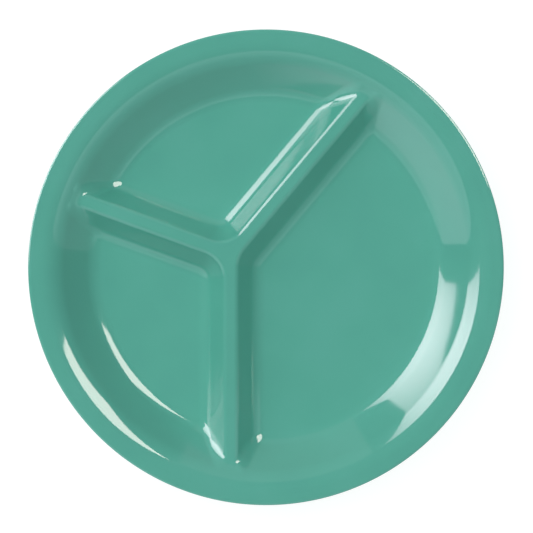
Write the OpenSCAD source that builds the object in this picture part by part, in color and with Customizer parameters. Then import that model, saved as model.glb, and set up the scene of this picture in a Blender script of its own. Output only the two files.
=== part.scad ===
// Divided compartment plate: one moulding with a rim, a sloping side wall and three dividers that
// run together in a Y and part the floor into one large and two small compartments.
// The moulding has the same thickness all over, so each divider is a channel seen from below.
// It is drawn as named zones that meet face to face where the surface is flat or straight.
// The plate stands on the plane Z = 0 with its centre at the origin. X runs along its line of
// symmetry towards the large compartment. Lengths are in millimetres, angles in degrees.

/* [Plate] */
// Diameter over the rim
plate_d = 260; // [230:1:320]
// Height from the table to the top of the rim
plate_h = 25.4; // [23:0.1:34]
// Thickness of the moulding
wall_t = 3; // [2:0.1:4]

/* [Rim and side wall] */
// Width of the nearly flat band round the rim
rim_w = 6.4; // [4:0.1:12]
// Rise of that band towards the edge
rim_slope = 4; // [1:0.5:8]
// Radius of the shoulder between the rim and the side wall
shoulder_r = 20; // [8:0.5:22]
// Share of the moulding's thickness that rounds the top of the rim's edge
rim_edge_share = 0.73; // [0.5:0.01:0.85]
// Slope of the side wall from level at its foot
wall_foot_slope = 42; // [38:0.5:45]
// Slope of the side wall from level at the shoulder
wall_head_slope = 46; // [45.5:0.5:52]
// Radius at the foot of the side wall, where it runs out into the floor
wall_foot_r = 12.4; // [6:0.1:16]

/* [Dividers] */
// Height of the dividers over the floor
divider_h = 14.3; // [10:0.1:15]
// Width of the flat along the top of a divider
divider_top_w = 3.3; // [2:0.1:5]
// Slope of a divider's sides from level
divider_slope = 54.5; // [50:1:60]
// Radius along the top edges of a divider
divider_edge_r = 3.5; // [2.5:0.1:4.5]
// Radius along the foot of a divider
divider_foot_r = 9.2; // [6:0.1:10]
// Radius along the top edges of the channel under a divider
channel_edge_r = 1; // [0.5:0.1:2]

/* [Compartments] */
// Distance from the plate's centre to the point where the dividers meet
hub_offset = 20.5; // [8:0.5:30]
// Angle between the line of symmetry and each of the two branch dividers
branch_angle = 70; // [60:1:78]
// Radius of the compartments' corners at the hub, on the floor
corner_r = 1.6; // [1:0.1:8]

/* [Foot ring] */
// Height of the foot ring under the floor
foot_h = 1.8; // [1:0.1:2.5]
// Width of the foot ring
foot_w = 3.6; // [2.5:0.1:6]
// Distance from the foot ring's outer side to the foot of the side wall
foot_inset = 6; // [2:0.1:14]
// Radius along the foot ring's lower edges
foot_edge_r = 0.8; // [0.3:0.1:1]
// Distance from the foot ring's ends to the channels that interrupt it
foot_end_gap = 1; // [0:0.1:5]

/* [Hidden] */
$fn = 180;
arc_steps = 8; // straight steps in each rounded stretch of a section
edge_steps = 4; // straight steps in the small rounded edges
seam_gap = 0.5; // distance from the end of a rounded stretch to the seam beside it
overcut = 1; // overrun of a cut past the face that it starts from

plate_colour = [0.35, 0.65, 0.57];
floor_colour = [0.34, 0.65, 0.58];
divider_colour = [0.38, 0.68, 0.6];
rim_colour = [0.33, 0.62, 0.54];
foot_colour = [0.3, 0.55, 0.48];

plate_r = plate_d / 2;
floor_z = foot_h + wall_t;
far = 2 * plate_d; // longer than anything on the plate

function toward(angle) = [cos(angle), sin(angle)];
function arc(centre, r, from, to, steps = arc_steps) =
    [for (i = [0:steps]) centre + r * toward(from + (to - from) * i / steps)];
function flipped(points) = [for (i = [len(points) - 1:-1:0]) points[i]];
function mirrored(points) = [for (p = points) [-p[0], p[1]]];
function tail(points) = [for (i = [1:len(points) - 1]) points[i]];

// Section of the rim and the side wall, in radius and height.
// The rim's edge is two rounds, which meet where the edge stands square to the rim, and the top of
// the upper one is the plate's highest point.
edge_top_r = rim_edge_share * wall_t;
edge_under_r = wall_t - edge_top_r;
edge_top_centre = [plate_r - edge_under_r - (edge_top_r - edge_under_r) * cos(rim_slope),
                   plate_h - edge_top_r];
edge_under_centre = edge_top_centre + (edge_top_r - edge_under_r) * toward(rim_slope);
rim_normal = 90 + rim_slope;
rim_edge_top = edge_top_centre + edge_top_r * toward(rim_normal);
rim_edge_under = edge_under_centre - edge_under_r * toward(rim_normal);
shoulder_end_r = plate_r - rim_w;
rim_seam_r = shoulder_end_r + seam_gap;

function rim_top(r) = [r, rim_edge_top[1] - (rim_edge_top[0] - r) * tan(rim_slope)];
function rim_under(r) = [r, rim_edge_under[1] - (rim_edge_under[0] - r) * tan(rim_slope)];

// The shoulder ends where the rim begins. The wall between it and the foot is one long hollow
// round, which runs into both without a break.
shoulder_centre = rim_top(shoulder_end_r) - shoulder_r * toward(rim_normal);
wall_head = shoulder_centre + shoulder_r * toward(90 + wall_head_slope);
wall_foot_z = floor_z + wall_foot_r * (1 - cos(wall_foot_slope));
wall_r = (wall_head[1] - wall_foot_z) / (cos(wall_foot_slope) - cos(wall_head_slope));
wall_centre = wall_head - wall_r * toward(wall_head_slope - 90);
floor_r = wall_centre[0] + (wall_r - wall_foot_r) * sin(wall_foot_slope);
floor_seam_r = floor_r - seam_gap;
foot_centre = [floor_r, floor_z + wall_foot_r];

wall_top = concat(arc(foot_centre, wall_foot_r, -90, wall_foot_slope - 90),
                  tail(arc(wall_centre, wall_r, wall_foot_slope - 90, wall_head_slope - 90)),
                  tail(arc(shoulder_centre, shoulder_r, 90 + wall_head_slope, rim_normal)),
                  [rim_top(rim_seam_r)]);
wall_under = concat(arc(foot_centre, wall_foot_r + wall_t, -90, wall_foot_slope - 90),
                    tail(arc(wall_centre, wall_r + wall_t,
                             wall_foot_slope - 90, wall_head_slope - 90)),
                    tail(arc(shoulder_centre, shoulder_r - wall_t,
                             90 + wall_head_slope, rim_normal)),
                    [rim_under(rim_seam_r + overcut)]);

// Section of a divider: half of its top surface and half of the channel below it, from the middle
// out to the floor. The channel keeps the wall's thickness on the divider's sides and top.
top_z = floor_z + divider_h;
top_half = divider_top_w / 2;
channel_half = top_half + (divider_edge_r - wall_t - channel_edge_r) * tan(divider_slope / 2);
rounds = divider_edge_r + divider_foot_r;
straight_h = divider_h - rounds * (1 - cos(divider_slope));
divider_half = top_half + rounds * sin(divider_slope) + straight_h / tan(divider_slope);
divider_seam = divider_half + seam_gap;

function ridge_side(half, z, edge_r, foot_r, base_z) =
    concat(arc([half, z - edge_r], edge_r, 90, 90 - divider_slope, edge_steps),
           arc([divider_half, base_z + foot_r], foot_r, 270 - divider_slope, 270));

ridge_top = ridge_side(top_half, top_z, divider_edge_r, divider_foot_r, floor_z);
ridge_under = ridge_side(channel_half, top_z - wall_t, channel_edge_r,
                         divider_foot_r + wall_t, foot_h);

// Directions of the dividers, counterclockwise from the left branch, and the corner that follows
// each of them. A corner's centre is corner_r from the foot of the dividers on both sides.
angles = [branch_angle, 180, 360 - branch_angle];
LEFT = 0;
STEM = 1;
RIGHT = 2;
corner_path_r = corner_r + divider_half;

function next(k) = (k + 1) % len(angles);
function before(k) = (k + len(angles) - 1) % len(angles);
function corner_span(k) = (angles[next(k)] - angles[k] + 360) % 360;
function corner_reach(k) = corner_path_r / tan(corner_span(k) / 2);
function corner_centre(k) =
    on_divider(k, 0, 0) + corner_path_r / sin(corner_span(k) / 2)
    * toward(angles[k] + corner_span(k) / 2);
// The point that lies a distance along a divider from the hub, and a distance to its left
function on_divider(k, along, aside) =
    [-hub_offset, 0] + along * toward(angles[k]) + aside * toward(angles[k] + 90);

// The hub's flat top is as wide as this strip along the middle of each divider, and ends past the
// longer of the two corners there.
strip_half = channel_half / 2;
function strip_end(k) = max(corner_reach(k), corner_reach(before(k))) + seam_gap;

// Foot ring
foot_outer_r = floor_r - foot_inset;
foot_inner_r = foot_outer_r - foot_w;
foot_end = divider_seam + foot_end_gap;

// Draws a section along a divider: its X is the distance to the divider's left, its Y the height.
module along_divider(k, from, to, section) {
    translate([-hub_offset, 0, 0])
        rotate(angles[k])
            translate([from, 0, 0])
                rotate([90, 0, 90])
                    linear_extrude(to - from)
                        polygon(section);
}

module rim() {
    color(rim_colour)
        rotate_extrude()
            polygon(concat([rim_top(rim_seam_r)],
                           arc(edge_top_centre, edge_top_r, rim_normal, rim_slope),
                           tail(arc(edge_under_centre, edge_under_r,
                                    rim_slope, rim_normal - 180)),
                           [rim_under(rim_seam_r)]));
}

// The wall and the ends of the dividers, less the space below the wall, the channels and all that
// lies inside the seam with the floors. Each block and cut overruns the surfaces that trim it.
block_z = foot_h - overcut;
cut_z = block_z - overcut;
block_r = floor_seam_r - overcut;
cut_r = block_r - overcut;

module side_wall() {
    color(plate_colour)
        difference() {
            union() {
                rotate_extrude()
                    polygon(concat([[block_r, floor_z]], wall_top,
                                   [[rim_seam_r, block_z], [block_r, block_z]]));
                for (k = [0:len(angles) - 1])
                    intersection() {
                        along_divider(k, strip_end(k), far, filled(ridge_top, block_z));
                        translate([0, 0, cut_z])
                            cylinder(h = plate_h, r = shoulder_end_r);
                    }
            }
            rotate_extrude()
                polygon(concat([[cut_r, foot_h]], wall_under,
                               [[rim_seam_r + overcut, cut_z], [cut_r, cut_z]]));
            for (k = [0:len(angles) - 1])
                along_divider(k, strip_end(k), far, filled(ridge_under, cut_z));
            translate([0, 0, cut_z - overcut])
                cylinder(h = 2 * plate_h, r = floor_seam_r);
        }
}

// The section under a divider's sides, filled down to a height. Each side's last step runs on by
// its own length, so that it crosses the flat surface that it meets instead of ending on it.
function filled(side, z) =
    let (last = len(side) - 1,
         full_side = concat(side, [2 * side[last] - side[last - 1]]),
         half = full_side[last + 1][0])
    concat(mirrored(flipped(full_side)), full_side, [[half, z], [-half, z]]);

// Plan of the compartment that follows a divider, up to a distance from the middle lines of the
// two dividers and round the corner between them.
module compartment_plan(k, aside) {
    polygon([corner_centre(k),
             on_divider(k, corner_reach(k), aside),
             on_divider(k, far, aside),
             far * toward(angles[k] + corner_span(k) / 2),
             on_divider(next(k), far, -aside),
             on_divider(next(k), corner_reach(k), -aside)]);
    translate(corner_centre(k))
        circle(corner_path_r - aside);
}

// A divider from the hub to the side wall. Its inner end steps round the hub's corners and top.
module divider(k) {
    color(divider_colour)
        intersection() {
            along_divider(k, 0, far,
                          concat([[-divider_seam, floor_z]],
                                 mirrored(flipped(ridge_top)), ridge_top,
                                 [[divider_seam, floor_z], [divider_seam, foot_h]],
                                 flipped(ridge_under), mirrored(ridge_under),
                                 [[-divider_seam, foot_h]]));
            linear_extrude(plate_h)
                intersection() {
                    circle(floor_seam_r);
                    polygon([on_divider(k, corner_reach(k), far),
                             on_divider(k, corner_reach(k), strip_half),
                             on_divider(k, strip_end(k), strip_half),
                             on_divider(k, strip_end(k), -strip_half),
                             on_divider(k, corner_reach(before(k)), -strip_half),
                             on_divider(k, corner_reach(before(k)), -far),
                             on_divider(k, far, -far),
                             on_divider(k, far, far)]);
                }
        }
}

module stem_divider() divider(STEM);
module left_divider() divider(LEFT);
module right_divider() divider(RIGHT);

// The flat top where the three dividers run together
module hub_top() {
    color(divider_colour)
        translate([0, 0, top_z - wall_t])
            linear_extrude(wall_t)
                difference() {
                    polygon([for (k = [0:len(angles) - 1]) for (aside = [-divider_half, divider_half])
                                 on_divider(k, strip_end(k), aside)]);
                    for (k = [0:len(angles) - 1])
                        compartment_plan(k, strip_half);
                }
}

// A divider's side, turned round the corner of the compartment that follows a divider
module hub_corner(k) {
    color(divider_colour)
        translate(corner_centre(k))
            rotate(angles[k] + corner_span(k) + 90)
                rotate_extrude(angle = 180 - corner_span(k))
                    polygon([for (p = concat([[strip_half, top_z]], ridge_top,
                                             [[divider_seam, floor_z], [divider_seam, foot_h]],
                                             flipped(ridge_under),
                                             [[strip_half, top_z - wall_t]]))
                                 [corner_path_r - p[0], p[1]]]);
}

module main_hub_corner() hub_corner(RIGHT);
module left_hub_corner() hub_corner(LEFT);
module right_hub_corner() hub_corner(STEM);

// The floor of the compartment that follows a divider
module compartment_floor(k) {
    color(floor_colour)
        translate([0, 0, foot_h])
            linear_extrude(wall_t)
                intersection() {
                    circle(floor_seam_r);
                    compartment_plan(k, divider_seam);
                }
}

module main_floor() compartment_floor(RIGHT);
module left_floor() compartment_floor(LEFT);
module right_floor() compartment_floor(STEM);

// Three arcs of one ring, which stop short of the channels
module foot_ring() {
    color(foot_colour)
        difference() {
            rotate_extrude()
                polygon(concat([[foot_inner_r, foot_h]],
                               arc([foot_inner_r + foot_edge_r, foot_edge_r], foot_edge_r,
                                   180, 270, edge_steps),
                               arc([foot_outer_r - foot_edge_r, foot_edge_r], foot_edge_r,
                                   270, 360, edge_steps),
                               [[foot_outer_r, foot_h]]));
            for (k = [0:len(angles) - 1])
                along_divider(k, 0, far,
                              [[-foot_end, -overcut], [foot_end, -overcut],
                               [foot_end, foot_h + overcut], [-foot_end, foot_h + overcut]]);
        }
}

rim();
side_wall();
main_floor();
left_floor();
right_floor();
stem_divider();
left_divider();
right_divider();
hub_top();
main_hub_corner();
left_hub_corner();
right_hub_corner();
foot_ring();
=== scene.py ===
"""A divided compartment plate: one moulding of glossy teal-green melamine resin."""
import math

import bmesh
import bpy
from mathutils import Matrix, Vector

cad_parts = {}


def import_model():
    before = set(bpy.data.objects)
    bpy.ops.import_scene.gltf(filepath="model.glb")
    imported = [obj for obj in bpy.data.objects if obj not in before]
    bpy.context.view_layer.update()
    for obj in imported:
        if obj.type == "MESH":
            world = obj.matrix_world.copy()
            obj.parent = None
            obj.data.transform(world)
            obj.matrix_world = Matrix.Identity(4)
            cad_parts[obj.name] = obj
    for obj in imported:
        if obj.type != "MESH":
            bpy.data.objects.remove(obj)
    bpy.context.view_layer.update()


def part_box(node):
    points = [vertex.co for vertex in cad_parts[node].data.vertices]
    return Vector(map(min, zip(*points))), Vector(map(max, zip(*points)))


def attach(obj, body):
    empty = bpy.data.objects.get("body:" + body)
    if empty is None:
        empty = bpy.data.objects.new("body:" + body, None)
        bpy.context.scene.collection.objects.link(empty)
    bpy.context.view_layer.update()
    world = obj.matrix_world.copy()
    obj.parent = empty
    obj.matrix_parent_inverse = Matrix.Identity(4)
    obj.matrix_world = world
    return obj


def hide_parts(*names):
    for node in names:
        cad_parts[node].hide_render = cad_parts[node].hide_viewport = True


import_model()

# Lengths are in millimetres and angles in degrees, up to the point where Blender is given them.
MM = 0.001

# Sizes that the frame gives
RIM_LOW, RIM_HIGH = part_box("rim")
PLATE_R = min(RIM_HIGH.x, RIM_HIGH.y, -RIM_LOW.x, -RIM_LOW.y) / MM
PLATE_H = RIM_HIGH.z / MM
FLOOR_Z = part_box("main_floor")[1].z / MM
FOOT_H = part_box("main_floor")[0].z / MM
TOP_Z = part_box("hub_top")[1].z / MM
WALL_T = FLOOR_Z - FOOT_H

# Rim and side wall
RIM_W = 6.4
RIM_SLOPE = 4
EDGE_UNDER_R = 0.81
SHOULDER_R = 20
WALL_FOOT_SLOPE = 42
WALL_HEAD_SLOPE = 46
WALL_FOOT_R = 12.4

# The rim's edge, whose top rolls over gently and then turns down in a small round. It stays a little
# inside the frame's box.
ROLL_R = 2.8
ROLL_TURN = 30
EDGE_TOP_R = 0.2
EDGE_CLEAR = 0.01

# Dividers
DIVIDER_TOP_W = 3.3
DIVIDER_SLOPE = 54.5
DIVIDER_EDGE_R = 3.5
DIVIDER_FOOT_R = 9.2
CHANNEL_EDGE_R = 1
HUB_OFFSET = 20.5
BRANCH_ANGLE = 70
CORNER_R = 1.6

# The rounds in the valleys where the dividers' ends run into the side wall. They run out over the
# fade heights above the floor and below the rim.
VALLEY_W = 15
VALLEY_FADE_H = 1.6
RIM_FADE_H = 5
TOP_VALLEY_SHARE = 0.3

# Foot ring
FOOT_W = 3.6
FOOT_INSET = 6
FOOT_EDGE_R = 0.8
FOOT_END_GAP = 1
FOOT_END_BEVEL = 0.5

# The pieces meet this far beyond the rounds and turns that end at their edges.
SEAM_GAP = 0.5

# Points that are closer than this become one.
MERGE_W = 0.001

# How many steps a full ring and the turn round a compartment's inner corner have
RING_STEPS = 480
CORNER_STEPS = 14


def sin(angle):
    return math.sin(math.radians(angle))


def cos(angle):
    return math.cos(math.radians(angle))


def tan(angle):
    return math.tan(math.radians(angle))


def toward(angle):
    return Vector((cos(angle), sin(angle)))


def bearing(point):
    """The direction in which a point lies, seen in plan from the plate's middle."""
    return math.degrees(math.atan2(point.y, point.x)) % 360


def arc(centre, r, start, end, steps):
    """Points of an arc about a centre, from one direction to another."""
    return [centre + r * toward(start + (end - start) * i / steps) for i in range(steps + 1)]


# Section of the rim and the side wall, in radius and height
EDGE_R = PLATE_R - EDGE_CLEAR
ROLL_END = 90 - ROLL_TURN
ROLL = Vector((EDGE_R - EDGE_TOP_R - (ROLL_R - EDGE_TOP_R) * cos(ROLL_END), PLATE_H - ROLL_R))
EDGE_TOP = ROLL + (ROLL_R - EDGE_TOP_R) * toward(ROLL_END)
RIM_NORMAL = 90 + RIM_SLOPE
RIM_EDGE = ROLL + ROLL_R * toward(RIM_NORMAL)
SHOULDER_END_R = PLATE_R - RIM_W
RIM_SEAM_R = SHOULDER_END_R + SEAM_GAP


def rim_z(r, depth):
    """Height of the rim's band at a radius, a depth below its top surface."""
    return RIM_EDGE.y - (RIM_EDGE.x - r) * tan(RIM_SLOPE) - depth / cos(RIM_SLOPE)


SHOULDER = Vector((SHOULDER_END_R, rim_z(SHOULDER_END_R, 0))) - SHOULDER_R * toward(RIM_NORMAL)
WALL_HEAD = SHOULDER + SHOULDER_R * toward(90 + WALL_HEAD_SLOPE)
WALL_FOOT_Z = FLOOR_Z + WALL_FOOT_R * (1 - cos(WALL_FOOT_SLOPE))
WALL_R = (WALL_HEAD.y - WALL_FOOT_Z) / (cos(WALL_FOOT_SLOPE) - cos(WALL_HEAD_SLOPE))
WALL = WALL_HEAD - WALL_R * toward(WALL_HEAD_SLOPE - 90)
FLOOR_R = WALL.x + (WALL_R - WALL_FOOT_R) * sin(WALL_FOOT_SLOPE)
FLOOR_SEAM_R = FLOOR_R - SEAM_GAP
WALL_FOOT = Vector((FLOOR_R, FLOOR_Z + WALL_FOOT_R))


def wall_z(r, depth):
    """Height of the side wall at a radius, a depth below its top surface."""
    foot_r = WALL_FOOT_R + depth
    wall_r = WALL_R + depth
    shoulder_r = SHOULDER_R - depth
    if r <= FLOOR_R:
        return FLOOR_Z - depth
    if r <= FLOOR_R + foot_r * sin(WALL_FOOT_SLOPE):
        return WALL_FOOT.y - math.sqrt(foot_r ** 2 - (r - FLOOR_R) ** 2)
    if r <= WALL.x + wall_r * sin(WALL_HEAD_SLOPE):
        return WALL.y - math.sqrt(wall_r ** 2 - (r - WALL.x) ** 2)
    if r <= SHOULDER.x - shoulder_r * sin(RIM_SLOPE):
        return SHOULDER.y + math.sqrt(shoulder_r ** 2 - (SHOULDER.x - r) ** 2)
    return rim_z(r, depth)


# Section of a divider, as a height at a distance from its middle line
TOP_HALF = DIVIDER_TOP_W / 2
CHANNEL_HALF = TOP_HALF + (DIVIDER_EDGE_R - WALL_T - CHANNEL_EDGE_R) * tan(DIVIDER_SLOPE / 2)
ROUNDS = DIVIDER_EDGE_R + DIVIDER_FOOT_R
STRAIGHT_H = TOP_Z - FLOOR_Z - ROUNDS * (1 - cos(DIVIDER_SLOPE))
DIVIDER_HALF = TOP_HALF + ROUNDS * sin(DIVIDER_SLOPE) + STRAIGHT_H / tan(DIVIDER_SLOPE)
DIVIDER_SEAM = DIVIDER_HALF + SEAM_GAP
STRIP_HALF = CHANNEL_HALF / 2


def ridge_z(aside, half, top_z, edge_r, foot_r, base_z):
    """Height of a ridge with a flat top, rounded edges, straight sides and rounded feet."""
    w = abs(aside)
    edge_end = half + edge_r * sin(DIVIDER_SLOPE)
    if w <= half:
        return top_z
    if w <= edge_end:
        return top_z - edge_r + math.sqrt(edge_r ** 2 - (w - half) ** 2)
    if w <= DIVIDER_HALF - foot_r * sin(DIVIDER_SLOPE):
        return top_z - edge_r * (1 - cos(DIVIDER_SLOPE)) - (w - edge_end) * tan(DIVIDER_SLOPE)
    if w <= DIVIDER_HALF:
        return base_z + foot_r - math.sqrt(foot_r ** 2 - (DIVIDER_HALF - w) ** 2)
    return base_z


def ridge_top(aside):
    """Height of a divider's top surface."""
    return ridge_z(aside, TOP_HALF, TOP_Z, DIVIDER_EDGE_R, DIVIDER_FOOT_R, FLOOR_Z)


def ridge_under(aside):
    """Height of a divider's underside, where it is hollow."""
    return ridge_z(aside, CHANNEL_HALF, TOP_Z - WALL_T, CHANNEL_EDGE_R, DIVIDER_FOOT_R + WALL_T, FOOT_H)


def half_samples():
    """Distances from a divider's middle at which its section has a point, from the top outwards."""
    edge_steps = 8
    side_steps = 6
    foot_steps = 12
    edge = [TOP_HALF + DIVIDER_EDGE_R * sin(DIVIDER_SLOPE * i / edge_steps) for i in range(edge_steps + 1)]
    foot = [DIVIDER_HALF - DIVIDER_FOOT_R * sin(DIVIDER_SLOPE * (1 - i / foot_steps))
            for i in range(foot_steps + 1)]
    side = [edge[-1] + (foot[0] - edge[-1]) * i / side_steps for i in range(1, side_steps)]
    return [STRIP_HALF, CHANNEL_HALF] + edge + side + foot + [DIVIDER_SEAM]


HALF = half_samples()
ACROSS = [-w for w in reversed(HALF)] + [0] + HALF

# Directions of the dividers, counterclockwise from the left branch. A corner follows each of them.
ANGLES = [BRANCH_ANGLE, 180, 360 - BRANCH_ANGLE]
LEFT, STEM, RIGHT = range(len(ANGLES))
HUB = Vector((-HUB_OFFSET, 0))
CORNER_PATH_R = CORNER_R + DIVIDER_HALF


def after(k):
    return (k + 1) % len(ANGLES)


def before(k):
    return (k - 1) % len(ANGLES)


def corner_span(k):
    """The angle between a divider and the next one."""
    return (ANGLES[after(k)] - ANGLES[k]) % 360


def corner_reach(k):
    """How far from the hub the two dividers beside a corner start to turn round it."""
    return CORNER_PATH_R / tan(corner_span(k) / 2)


def corner_centre(k):
    return HUB + CORNER_PATH_R / sin(corner_span(k) / 2) * toward(ANGLES[k] + corner_span(k) / 2)


def strip_end(k):
    """How far from the hub a divider is clear of the corners on both its sides."""
    return max(corner_reach(k), corner_reach(before(k))) + SEAM_GAP


def on_divider(k, along, aside):
    """The point that lies a distance along a divider from the hub, and a distance to its left."""
    return HUB + along * toward(ANGLES[k]) + aside * toward(ANGLES[k] + 90)


def on_circle(k, aside, r):
    """The point outwards along a divider, a distance to its left, on the circle of a radius."""
    start = HUB + aside * toward(ANGLES[k] + 90)
    lean = start.dot(toward(ANGLES[k]))
    return on_divider(k, math.sqrt(lean ** 2 - start.length_squared + r ** 2) - lean, aside)


def divider_loop(k, along, across):
    """A divider's section as a loop, a distance from the hub, with points at distances to its left."""
    top = [(w, ridge_top(w)) for w in across]
    under = [(w, ridge_under(w)) for w in reversed(across)]
    return [(*on_divider(k, along, w), z) for w, z in top + under]


# Modelling steps, as they are done by hand
def deselect():
    if bpy.context.object and bpy.context.object.mode == "EDIT":
        bpy.ops.object.mode_set(mode="OBJECT")
    bpy.ops.object.select_all(action="DESELECT")


def merge_all():
    """Selects all that is drawn and makes close points one."""
    bpy.ops.mesh.select_all(action="SELECT")
    bpy.ops.mesh.remove_doubles(threshold=MERGE_W * MM)


def draw_loop(name, points):
    """Draws a closed loop in edit mode: a plane drawn in to one vertex, extruded from point to point."""
    deselect()
    bpy.ops.mesh.primitive_plane_add(size=MM)
    piece = bpy.context.object
    piece.name = name
    piece.data.name = name
    bpy.ops.object.mode_set(mode="EDIT")
    bpy.ops.mesh.merge(type="CENTER")
    places = [Vector(point) * MM for point in points]
    bpy.ops.transform.translate(value=places[0])
    for here, there in zip(places, places[1:] + places[:1]):
        bpy.ops.mesh.extrude_region_move(TRANSFORM_OT_translate={"value": there - here})
    merge_all()
    return piece


def pick(piece, kind, test):
    """Selects what lies where the test says, by its own middle in millimetres. kind is verts or faces."""
    bpy.ops.mesh.select_mode(type="VERT" if kind == "verts" else "FACE")
    bpy.ops.mesh.select_all(action="DESELECT")
    mesh = bmesh.from_edit_mesh(piece.data)
    for item in getattr(mesh, kind):
        middle = item.co if kind == "verts" else item.calc_center_median()
        item.select_set(test(middle / MM))
    mesh.select_flush_mode()
    bmesh.update_edit_mesh(piece.data)


def move_points(piece, place, selected=False):
    """Moves all or the selected vertices to where place puts them, from their place in millimetres."""
    mesh = bmesh.from_edit_mesh(piece.data)
    for point in mesh.verts:
        if point.select or not selected:
            point.co = Vector(place(point.co / MM)) * MM
    bmesh.update_edit_mesh(piece.data)


def extrude(along):
    bpy.ops.mesh.extrude_region_move(TRANSFORM_OT_translate={"value": Vector(along) * MM})


def spin(centre, angle, steps):
    """Spins all that is drawn about an upright axis, counterclockwise seen from above."""
    bpy.ops.mesh.select_all(action="SELECT")
    bpy.ops.mesh.spin(steps=steps, angle=-math.radians(angle), axis=(0, 0, 1),
                      center=Vector((centre[0], centre[1], 0)) * MM)


def finish_piece(piece, material, node):
    """Closes and smooths the shape, gives it its material and puts it in its node's place."""
    crease_angle = 30
    bpy.ops.mesh.select_mode(type="VERT")
    merge_all()
    bpy.ops.mesh.normals_make_consistent(inside=False)
    bpy.ops.object.mode_set(mode="OBJECT")
    bpy.ops.object.shade_smooth_by_angle(angle=math.radians(crease_angle))
    piece.data.materials.append(material)
    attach(piece, "root")
    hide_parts(node)


# Materials
def linear(hex_colour):
    """An sRGB hex colour as the linear colour that a shader takes."""
    shares = [int(hex_colour[i:i + 2], 16) / 255 for i in (1, 3, 5)]
    return [s / 12.92 if s <= 0.04045 else ((s + 0.055) / 1.055) ** 2.4 for s in shares] + [1]


def add_node(material, kind, links=(), **settings):
    """Adds a node, with its settings by attribute or socket name and its inputs as (name, output)."""
    node = material.node_tree.nodes.new(kind)
    for name, value in settings.items():
        if hasattr(node, name):
            setattr(node, name, value)
        else:
            node.inputs[name.replace("_", " ")].default_value = value
    for name, output in links:
        material.node_tree.links.new(output, node.inputs[name])
    return node


def new_material(name):
    material = bpy.data.materials.new(name)
    material.use_nodes = True
    material.node_tree.nodes.clear()
    return material


def shade_ramp(material, source, stops):
    """A colour ramp over a pattern's output, with (place, hex colour) stops."""
    node = add_node(material, "ShaderNodeValToRGB", [("Fac", source)])
    elements = node.color_ramp.elements
    while len(elements) < len(stops):
        elements.new(0.5)
    for element, (place, colour) in zip(elements, stops):
        element.position = place
        element.color = linear(colour)
    return node


def spread(material, source, span, levels):
    """Spreads a value over two levels as it crosses a span, and holds it at them beyond the span."""
    return add_node(material, "ShaderNodeMapRange", [("Value", source)],
                    From_Min=span[0], From_Max=span[1], To_Min=levels[0], To_Max=levels[1])


def moulded_melamine(name, shades, gloss_range, ground=0):
    """Melamine resin filled with fine pulp, compression moulded in a polished steel mould.

    The skin is hard and wet-looking. The pulp makes cloudy patches a few centimetres across, barely
    darker or lighter than the rest, and a fine fleck. Shrinkage leaves a very shallow orange peel.
    ground is the depth of grinding marks, where the moulding has been ground flat. The fleck and the
    marks are finer on a real plate, and are drawn coarser here so that they can show.
    """
    cloud_mm = 32
    fleck_mm = 0.9
    fleck_share = 0.18
    peel_mm = 11
    peel_depth_mm = 0.008
    mark_mm = 0.35
    cloud_span = (0.3, 0.7)
    material = new_material(name)
    place = add_node(material, "ShaderNodeTexCoord").outputs["Object"]
    cloud = add_node(material, "ShaderNodeTexNoise", [("Vector", place)],
                     Scale=1 / (cloud_mm * MM), Detail=2.0, Roughness=0.5)
    fleck = add_node(material, "ShaderNodeTexNoise", [("Vector", place)],
                     Scale=1 / (fleck_mm * MM), Detail=1.0, Roughness=0.5)
    peel = add_node(material, "ShaderNodeTexNoise", [("Vector", place)],
                    Scale=1 / (peel_mm * MM), Detail=1.0, Roughness=0.4)
    mixed = add_node(material, "ShaderNodeMath", operation="MULTIPLY_ADD",
                     links=[(0, fleck.outputs["Fac"]), (2, cloud.outputs["Fac"])])
    mixed.inputs[1].default_value = fleck_share
    colour = shade_ramp(material, mixed.outputs["Value"], shades)
    gloss = spread(material, cloud.outputs["Fac"], cloud_span, gloss_range)
    skin = add_node(material, "ShaderNodeBump", [("Height", peel.outputs["Fac"])],
                    Strength=1.0, Distance=peel_depth_mm * MM)
    if ground:
        marks = add_node(material, "ShaderNodeTexNoise", [("Vector", place)],
                         Scale=1 / (mark_mm * MM), Detail=2.0, Roughness=0.6)
        skin = add_node(material, "ShaderNodeBump",
                        [("Height", marks.outputs["Fac"]), ("Normal", skin.outputs["Normal"])],
                        Strength=1.0, Distance=ground * MM)
    shader = add_node(material, "ShaderNodeBsdfPrincipled",
                      [("Base Color", colour.outputs["Color"]), ("Roughness", gloss.outputs["Result"]),
                       ("Normal", skin.outputs["Normal"])], IOR=1.56)
    add_node(material, "ShaderNodeOutputMaterial", [("Surface", shader.outputs["BSDF"])])
    return material


def gloss_melamine():
    """The plate's own surface, as it leaves the polished mould."""
    shades = [(0.4, "#53A393"), (0.59, "#54A594"), (0.78, "#56A696")]
    return moulded_melamine("gloss_melamine", shades, (0.05, 0.08))


def ground_melamine():
    """The same resin where the foot has been ground flat and tumbled: satin, and a little paler."""
    shades = [(0.4, "#4E9A89"), (0.59, "#559F8F"), (0.78, "#5CA595")]
    return moulded_melamine("ground_melamine", shades, (0.38, 0.48), ground=0.02)


GLOSS = gloss_melamine()
SATIN = ground_melamine()


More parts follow.
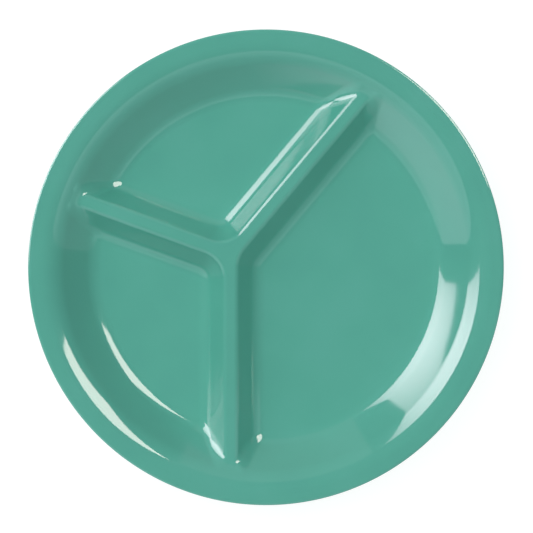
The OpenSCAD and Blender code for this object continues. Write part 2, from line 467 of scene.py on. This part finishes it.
# Sub-parts of the moulding
def rim():
    """The rim's band with its rolled edge."""
    round_steps = 12
    band_steps = 4
    roll = arc(ROLL, ROLL_R, RIM_NORMAL, ROLL_END, round_steps)
    turn = arc(EDGE_TOP, EDGE_TOP_R, ROLL_END, 0, round_steps)
    under_x = EDGE_R - EDGE_UNDER_R
    under = Vector((under_x, rim_z(under_x, WALL_T) + EDGE_UNDER_R / cos(RIM_SLOPE)))
    under_turn = arc(under, EDGE_UNDER_R, 0, RIM_NORMAL - 180, round_steps)
    inner, inner_under = [Vector((RIM_SEAM_R, rim_z(RIM_SEAM_R, depth))) for depth in (0, WALL_T)]
    band = [inner.lerp(roll[0], i / band_steps) for i in range(band_steps)]
    section = band + roll + turn[1:] + under_turn + [inner_under]
    piece = draw_loop("plate_rim", [(p.x, 0, p.y) for p in section])
    spin((0, 0), 360, RING_STEPS)
    finish_piece(piece, GLOSS, "rim")


def wall_radii():
    """Radii of the side wall's rings: the seam, where the wall starts, then even steps to the rim."""
    ring_w = 0.55
    count = round((RIM_SEAM_R - FLOOR_R) / ring_w)
    return [FLOOR_SEAM_R] + [FLOOR_R + (RIM_SEAM_R - FLOOR_R) * i / count for i in range(count + 1)]


def column_angles(r):
    """Directions of the wall's columns at a radius: across each divider, and spread out between."""
    beside_w = (1.5, 3.5)
    column_w = 2.4
    margins = [DIVIDER_SEAM + w for w in beside_w]
    across = [-w for w in reversed(margins)] + ACROSS + margins
    found = []
    for k in range(len(ANGLES)):
        next_k = after(k)
        found += [bearing(on_circle(k, w, r)) for w in across]
        gap = (bearing(on_circle(next_k, across[0], r)) - found[-1]) % 360
        end = bearing(on_circle(k, across[-1], RIM_SEAM_R))
        turn = (bearing(on_circle(next_k, across[0], RIM_SEAM_R)) - end) % 360
        count = round(math.radians(turn) * RIM_SEAM_R / column_w)
        found += [found[-1] + gap * i / count for i in range(1, count)]
    return found


def risen(wall, ridge, full):
    """The higher of two heights over the floor, with a round in the valley where they meet.

    The round runs out on the floor and at the rim, whose height is full, and is smaller over a
    divider's top. least_h stands in for the heights' sum near the floor, where that is nothing.
    """
    least_h = 0.5
    crest_power = 4
    apart = abs(wall - ridge)
    both = wall * ridge / max(wall + ridge, least_h)
    below_rim = min(1, max(0, (full - wall) / RIM_FADE_H))
    rim_fade = below_rim ** 2 * (3 - 2 * below_rim)
    up = ridge / (TOP_Z - FLOOR_Z)
    top_fade = 1 - (1 - TOP_VALLEY_SHARE) * up ** crest_power
    width = VALLEY_W * both / (both + VALLEY_FADE_H) * rim_fade * top_fade
    if width <= apart:
        return max(wall, ridge)
    return max(wall, ridge) + (width - apart) ** 2 / (4 * width)


def ridge_over(point, ridge):
    """Height of the dividers' surface at a point in plan."""
    away = point - HUB
    best = ridge(DIVIDER_SEAM)
    for angle in ANGLES:
        if away.dot(toward(angle)) > 0:
            best = max(best, ridge(away.dot(toward(angle + 90))))
    return best


def side_wall():
    """The sloping wall with its shoulder, and the ends of the dividers that run up into it.

    The wall's section is spun round, and each point then slides along its ring, so that columns
    follow the dividers' sides, and up to the height that the wall and the dividers have together.
    """
    radii = wall_radii()
    columns = [column_angles(r) for r in radii]
    count = len(columns[0])
    top = [(r, 0, wall_z(r, 0)) for r in radii]
    under = [(r, 0, wall_z(r, WALL_T)) for r in reversed(radii)]
    piece = draw_loop("plate_side_wall", top + under)
    spin((0, 0), 360, count)
    merge_all()

    def place(point):
        reach = math.hypot(point.x, point.y)
        ring = min(range(len(radii)), key=lambda i: abs(radii[i] - reach))
        r = radii[ring]
        column = round(bearing(point) / 360 * count) % count
        spot = r * toward(columns[ring][column])
        is_top = point.z > (wall_z(r, 0) + wall_z(r, WALL_T)) / 2
        base, depth, ridge = (FLOOR_Z, 0, ridge_top) if is_top else (FOOT_H, WALL_T, ridge_under)
        full = wall_z(RIM_SEAM_R, depth) - base
        height = risen(wall_z(r, depth) - base, ridge_over(spot, ridge) - base, full)
        return spot.x, spot.y, base + height

    move_points(piece, place)
    finish_piece(piece, GLOSS, "side_wall")


def floor(node, k):
    """The flat floor of the compartment that follows a divider, with its corner at the hub rounded."""
    edge_step = 1.2
    corner_start = ANGLES[after(k)] + 90
    corner = arc(corner_centre(k), CORNER_PATH_R - DIVIDER_SEAM, corner_start,
                 corner_start + 180 - corner_span(k), CORNER_STEPS)
    start = bearing(on_circle(k, DIVIDER_SEAM, FLOOR_SEAM_R))
    turn = (bearing(on_circle(after(k), -DIVIDER_SEAM, FLOOR_SEAM_R)) - start) % 360
    edge = arc(Vector((0, 0)), FLOOR_SEAM_R, start, start + turn,
               round(math.radians(turn) * FLOOR_SEAM_R / edge_step))
    piece = draw_loop("plate_" + node, [(p.x, p.y, FOOT_H) for p in corner + edge])
    bpy.ops.mesh.edge_face_add()
    extrude((0, 0, WALL_T))
    finish_piece(piece, GLOSS, node)


def divider(node, k):
    """A divider from the hub to the side wall. Its inner end steps round the hub's corners and top.

    It is drawn out a little way from the place where it is clear of the corners, and its outer end
    then slides to the side wall's seam. Its two sides are drawn back to where each corner starts.
    """
    near = SEAM_GAP / 10
    start = strip_end(k)
    piece = draw_loop("plate_" + node, divider_loop(k, start, ACROSS))
    bpy.ops.mesh.edge_face_add()
    extrude((*(DIVIDER_HALF * toward(ANGLES[k])), 0))

    def aside(point):
        return (point.xy - HUB).dot(toward(ANGLES[k] + 90))

    def along(point):
        return (point.xy - HUB).dot(toward(ANGLES[k]))

    move_points(piece, lambda p: (*on_circle(k, aside(p), FLOOR_SEAM_R), p.z), selected=True)
    for side in (-1, 1):
        pick(piece, "verts", lambda p: abs(aside(p) - side * STRIP_HALF) < near and along(p) < start + near)
        bpy.ops.mesh.vert_connect_path()
    for side, reach in ((1, corner_reach(k)), (-1, corner_reach(before(k)))):
        pick(piece, "faces", lambda p: abs(along(p) - start) < near and side * aside(p) > STRIP_HALF)
        extrude((*((reach - start) * toward(ANGLES[k])), 0))
    finish_piece(piece, GLOSS, node)


def hub_top():
    """The flat top where the three dividers run together."""
    outline = []
    for k in range(len(ANGLES)):
        outline += [on_divider(k, strip_end(k), -STRIP_HALF), on_divider(k, strip_end(k), STRIP_HALF)]
        outline += arc(corner_centre(k), CORNER_PATH_R - STRIP_HALF, ANGLES[k] + 270,
                       ANGLES[k] + 90 + corner_span(k), CORNER_STEPS)
    piece = draw_loop("plate_hub_top", [(p.x, p.y, TOP_Z - WALL_T) for p in outline])
    bpy.ops.mesh.edge_face_add()
    extrude((0, 0, WALL_T))
    finish_piece(piece, GLOSS, "hub_top")


def hub_corner(node, k):
    """A divider's side, turned round the inner corner of the compartment that follows a divider."""
    side = [w for w in ACROSS if w >= STRIP_HALF]
    piece = draw_loop("plate_" + node, divider_loop(k, corner_reach(k), side))
    spin(corner_centre(k), corner_span(k) - 180, CORNER_STEPS)
    bpy.ops.mesh.select_all(action="SELECT")
    bpy.ops.mesh.fill_holes(sides=0)
    finish_piece(piece, GLOSS, node)


def foot_arc(k):
    """One arc of the foot ring: the spun ring, cut off square beside the channels on both sides."""
    ring_steps = 240
    edge_steps = 6
    bevel_steps = 3
    outer_r = FLOOR_R - FOOT_INSET
    inner_r = outer_r - FOOT_W
    section = [Vector((outer_r, FOOT_H)), Vector((inner_r, FOOT_H))]
    section += arc(Vector((inner_r + FOOT_EDGE_R, FOOT_EDGE_R)), FOOT_EDGE_R, 180, 270, edge_steps)
    section += arc(Vector((outer_r - FOOT_EDGE_R, FOOT_EDGE_R)), FOOT_EDGE_R, 270, 360, edge_steps)
    piece = draw_loop("foot_arc", [(p.x, 0, p.y) for p in section])
    spin((0, 0), 360, ring_steps)
    merge_all()
    foot_end = DIVIDER_SEAM + FOOT_END_GAP
    for side, j in ((1, k), (-1, after(k))):
        aside = side * toward(ANGLES[j] + 90)
        spot = on_divider(j, 0, side * foot_end) * MM
        bpy.ops.mesh.select_all(action="SELECT")
        bpy.ops.mesh.bisect(plane_co=(*spot, 0), plane_no=(*aside, 0), use_fill=True, clear_inner=True)
        bpy.ops.mesh.bevel(offset=FOOT_END_BEVEL * MM, segments=bevel_steps, affect="EDGES")
    bpy.ops.object.mode_set(mode="OBJECT")
    return piece


def foot_ring():
    """The ring that the plate stands on, in three arcs, ground flat where it touches the table."""
    arcs = [foot_arc(k) for k in range(len(ANGLES))]
    deselect()
    for each in arcs:
        each.select_set(True)
    piece = arcs[0]
    bpy.context.view_layer.objects.active = piece
    bpy.ops.object.join()
    piece.name = "plate_foot_ring"
    piece.data.name = "plate_foot_ring"
    bpy.ops.object.mode_set(mode="EDIT")
    finish_piece(piece, SATIN, "foot_ring")


# The studio. Directions are given as the photograph shows them: the azimuth counterclockwise from
# its right side, the zenith angle from straight above. The plate's own X axis is turned from that.
PHOTO_TURN = 20
LAMP_DISTANCE = 3000


def sky(azimuth, zenith):
    """The direction of a place in the sky."""
    across = sin(zenith) * toward(azimuth + PHOTO_TURN)
    return Vector((across.x, across.y, cos(zenith)))


def fill_lamp(name, azimuth, zenith, spread_angle, radiance):
    """A large softbox that lights the body colour and doesn't show in the gloss."""
    turn = (Matrix.Rotation(math.radians(azimuth + PHOTO_TURN), 3, "Z")
            @ Matrix.Rotation(math.radians(zenith), 3, "Y"))
    width = 2 * LAMP_DISTANCE * MM * tan(spread_angle / 2)
    deselect()
    bpy.ops.object.light_add(type="AREA", location=sky(azimuth, zenith) * LAMP_DISTANCE * MM,
                             rotation=turn.to_euler())
    lamp = bpy.context.object
    lamp.name = name
    lamp.data.size = width
    lamp.data.energy = 4 * width ** 2 * radiance
    lamp.visible_camera = False
    lamp.visible_glossy = False


def toward_azimuth(material, place, azimuth):
    """How far a place lies towards an azimuth."""
    node = add_node(material, "ShaderNodeVectorMath", [(0, place)], operation="DOT_PRODUCT")
    node.inputs[1].default_value = (*toward(azimuth + PHOTO_TURN), 0)
    return node.outputs["Value"]


def glow(piece, material, strength, colour):
    """Makes a drawn sheet glow, as a part of the studio that shows in the gloss and nowhere else."""
    light = add_node(material, "ShaderNodeEmission", [("Strength", strength.outputs["Value"])],
                     Color=linear(colour))
    add_node(material, "ShaderNodeOutputMaterial", [("Surface", light.outputs["Emission"])])
    bpy.ops.object.mode_set(mode="OBJECT")
    piece.data.materials.append(material)
    piece.visible_camera = False
    piece.visible_diffuse = False
    piece.visible_shadow = False


def softbox(name, corners, brightest, colour, radiance, low_share=1, end_share=1):
    """The lit face of a softbox, with its corners as azimuth and zenith angle.

    Its radiance falls to the low share near the table, and to the end share a turn away from its
    brightest azimuth.
    """
    low_span = (100 * MM, 600 * MM)
    end_turn = 28
    piece = draw_loop(name, [sky(*corner) * LAMP_DISTANCE for corner in corners])
    bpy.ops.mesh.edge_face_add()
    material = new_material(name)
    place = add_node(material, "ShaderNodeTexCoord").outputs["Object"]
    upright = add_node(material, "ShaderNodeSeparateXYZ", [("Vector", place)])
    lit_high = spread(material, upright.outputs["Z"], low_span, (low_share * radiance, radiance))
    level = add_node(material, "ShaderNodeVectorMath", [(0, place)], operation="MULTIPLY")
    level.inputs[1].default_value = (1, 1, 0)
    aim = add_node(material, "ShaderNodeVectorMath", [(0, level.outputs["Vector"])], operation="NORMALIZE")
    lit_middle = spread(material, toward_azimuth(material, aim.outputs["Vector"], brightest),
                        (cos(end_turn), 1), (end_share, 1))
    strength = add_node(material, "ShaderNodeMath", operation="MULTIPLY",
                        links=[(0, lit_high.outputs["Result"]), (1, lit_middle.outputs["Result"])])
    glow(piece, material, strength, colour)


def card():
    """A long pale card that stands round the plate's lower side and shows as a soft band in the gloss.

    It has rounded upper corners, and is lit most towards one azimuth and along its upper edge.
    """
    first, last = 186.5, 355
    low, high = 89, 30
    first_round, last_round = 45, 8
    corner_power = 3
    distance = 1600
    steps = 96
    brightest = 218
    side_span = (850 * MM, 1500 * MM)
    side_levels = (0.59, 1.95)
    edge_span = (850 * MM, 1250 * MM)
    edge_levels = (0, 0.45)
    piece = draw_loop("card", [sky(first, zenith) * distance for zenith in (low, high)])
    spin((0, 0), last - first, steps)

    def place(point):
        azimuth = (bearing(point) - PHOTO_TURN) % 360
        if point.z < distance * cos((low + high) / 2):
            return point
        inset = max(0, 1 - (azimuth - first) / first_round, 1 - (last - azimuth) / last_round)
        rise = math.sqrt(max(0, 1 - inset ** corner_power))
        return sky(azimuth, low + (high - low) * rise) * distance

    move_points(piece, place)
    material = new_material("lit_card")
    spot = add_node(material, "ShaderNodeTexCoord").outputs["Object"]
    lit_side = spread(material, toward_azimuth(material, spot, brightest), side_span, side_levels)
    upright = add_node(material, "ShaderNodeSeparateXYZ", [("Vector", spot)])
    lit_edge = spread(material, upright.outputs["Z"], edge_span, edge_levels)
    strength = add_node(material, "ShaderNodeMath", operation="ADD",
                        links=[(0, lit_side.outputs["Result"]), (1, lit_edge.outputs["Result"])])
    glow(piece, material, strength, "#F1F7FF")


def table():
    """A wide white acrylic table, lit from below so that it shows no shadow."""
    table_w = 8000
    deselect()
    bpy.ops.mesh.primitive_plane_add(size=table_w * MM)
    sheet = bpy.context.object
    sheet.name = "table"
    material = new_material("white_acrylic")
    shader = add_node(material, "ShaderNodeBsdfPrincipled", Base_Color=linear("#7A7A7A"), Roughness=0.9,
                      Emission_Color=linear("#FDFFFF"), Emission_Strength=0.86)
    add_node(material, "ShaderNodeOutputMaterial", [("Surface", shader.outputs["BSDF"])])
    sheet.data.materials.append(material)


def lights():
    """Two softboxes, a wall and a card that show in the gloss, and soft light for the body colour."""
    room_level = 0.2
    world = bpy.data.worlds.new("studio")
    world.use_nodes = True
    room = world.node_tree.nodes["Background"]
    room.inputs["Color"].default_value = (room_level, room_level, room_level, 1)
    bpy.context.scene.world = world
    softbox("west_softbox", [(124, 42), (180, 42), (175, 83.6), (156, 85.5), (148, 88), (134.5, 89.5)],
            brightest=154, colour="#FFF0FA", radiance=10.8, low_share=0.5, end_share=0.36)
    softbox("east_softbox", [(19, 46), (23, 24), (44, 24), (63, 35), (41, 60)],
            brightest=35, colour="#FFEDE9", radiance=11.4)
    softbox("north_wall", [(66, 40), (120, 40), (120, 89), (66, 89)],
            brightest=93, colour="#FFFFFF", radiance=0.6)
    card()
    fill_lamp("west_fill", azimuth=150, zenith=50, spread_angle=60, radiance=1.17)
    fill_lamp("top_fill", azimuth=0, zenith=0, spread_angle=80, radiance=0.86)


def camera():
    """The photograph's view, from straight above with the plate turned in the picture."""
    picture_px = 533
    plate_r_px = 237.98
    centre_px = Vector((265.95, 267.27))
    distance = 1500
    sensor_w = 36
    pixel_w = PLATE_R / plate_r_px
    off = centre_px - Vector((picture_px / 2, picture_px / 2))
    spot = -off.x * pixel_w * toward(PHOTO_TURN) + off.y * pixel_w * toward(PHOTO_TURN + 90)
    deselect()
    bpy.ops.object.camera_add(location=Vector((spot.x, spot.y, PLATE_H + distance)) * MM,
                              rotation=(0, 0, math.radians(PHOTO_TURN)))
    eye = bpy.context.object
    eye.data.sensor_width = sensor_w
    eye.data.lens = sensor_w * distance / (picture_px * pixel_w)
    bpy.context.scene.camera = eye


rim()
side_wall()
floor("main_floor", RIGHT)
floor("left_floor", LEFT)
floor("right_floor", STEM)
divider("left_divider", LEFT)
divider("stem_divider", STEM)
divider("right_divider", RIGHT)
hub_top()
hub_corner("main_hub_corner", RIGHT)
hub_corner("left_hub_corner", LEFT)
hub_corner("right_hub_corner", STEM)
foot_ring()
table()
lights()
camera()
bpy.context.scene.view_settings.view_transform = "Standard"
